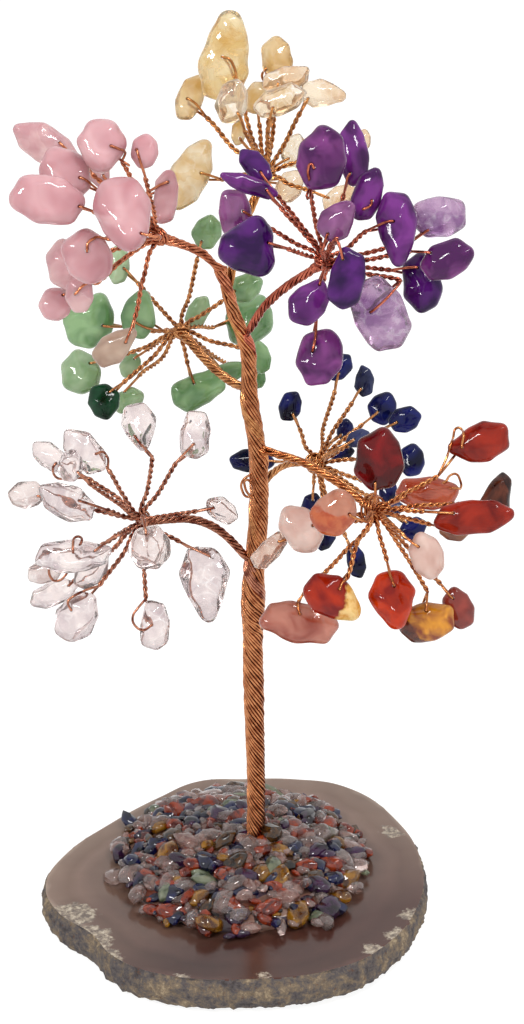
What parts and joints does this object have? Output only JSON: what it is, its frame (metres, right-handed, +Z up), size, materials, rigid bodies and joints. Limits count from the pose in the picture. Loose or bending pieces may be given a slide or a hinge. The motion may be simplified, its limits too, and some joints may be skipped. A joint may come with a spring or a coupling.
{
  "type": "gemstone tree ornament",
  "caption": "Free-standing ornament: tumbled gem chips on twisted copper twigs, gathered into branches and one laid trunk, on a slice of agate with a heap of small chips.",
  "frame": {"origin": "on the flat underside of the agate slice, below the foot of the trunk", "axes": "+Z up along the trunk, -Y towards the front, +X to the viewer's right"},
  "size_m": [0.0715, 0.0616, 0.1378],
  "materials": {
    "agate": "polished grey-brown agate with a rough natural rind",
    "glue": "clear hard glue",
    "copper": "bare bright copper wire",
    "amethyst": "tumbled, polished",
    "rose_quartz": "tumbled, polished, milky",
    "citrine": "tumbled, polished",
    "aventurine": "tumbled, polished",
    "clear_quartz": "tumbled, polished, crackled inside",
    "carnelian": "tumbled, polished",
    "sodalite": "tumbled, polished, opaque",
    "tiger_eye": "tumbled, polished, banded"
  },
  "bodies": {
    "root": {"agate_slice": "agate", "amethyst_branch": "copper", "amethyst_stones_bottom": "amethyst", "amethyst_stones_front": "amethyst", "amethyst_stones_left": "amethyst", "amethyst_stones_right": "amethyst", "amethyst_stones_top": "amethyst", "amethyst_twigs": "copper", "aventurine_branch": "copper", "aventurine_stones_behind": "aventurine", "aventurine_stones_bottom": "aventurine", "aventurine_stones_left": "aventurine", "aventurine_stones_right": "aventurine", "aventurine_stones_upper": "aventurine", "aventurine_twigs": "copper", "carnelian_branch": "copper", "carnelian_stones_bottom": "carnelian", "carnelian_stones_left": "carnelian", "carnelian_stones_lower": "carnelian", "carnelian_stones_right": "carnelian", "carnelian_stones_top": "carnelian", "carnelian_twigs": "copper", "citrine_branch": "copper", "citrine_stones_front": "citrine", "citrine_stones_left": "citrine", "citrine_stones_lower": "citrine", "citrine_stones_right": "citrine", "citrine_stones_top": "citrine", "citrine_twigs": "copper", "clear_quartz_branch": "copper", "clear_quartz_stones_bottom": "clear_quartz", "clear_quartz_stones_front": "clear_quartz", "clear_quartz_stones_left": "clear_quartz", "clear_quartz_stones_lower": "clear_quartz", "clear_quartz_stones_top": "clear_quartz", "clear_quartz_twigs": "copper", "glue_bed": "glue", "gravel_amethyst": "amethyst", "gravel_aventurine": "aventurine", "gravel_carnelian": "carnelian", "gravel_citrine": "citrine", "gravel_clear_quartz": "clear_quartz", "gravel_rose_quartz": "rose_quartz", "gravel_sodalite": "sodalite", "gravel_tiger_eye": "tiger_eye", "rose_quartz_branch": "copper", "rose_quartz_stones_bottom": "rose_quartz", "rose_quartz_stones_front": "rose_quartz", "rose_quartz_stones_left": "rose_quartz", "rose_quartz_stones_lower": "rose_quartz", "rose_quartz_stones_top": "rose_quartz", "rose_quartz_twigs": "copper", "sodalite_branch": "copper", "sodalite_stones_left": "sodalite", "sodalite_stones_lower": "sodalite", "sodalite_stones_middle": "sodalite", "sodalite_stones_top": "sodalite", "sodalite_stones_upper": "sodalite", "sodalite_twigs": "copper", "trunk": "copper"}
  },
  "joints": []
}
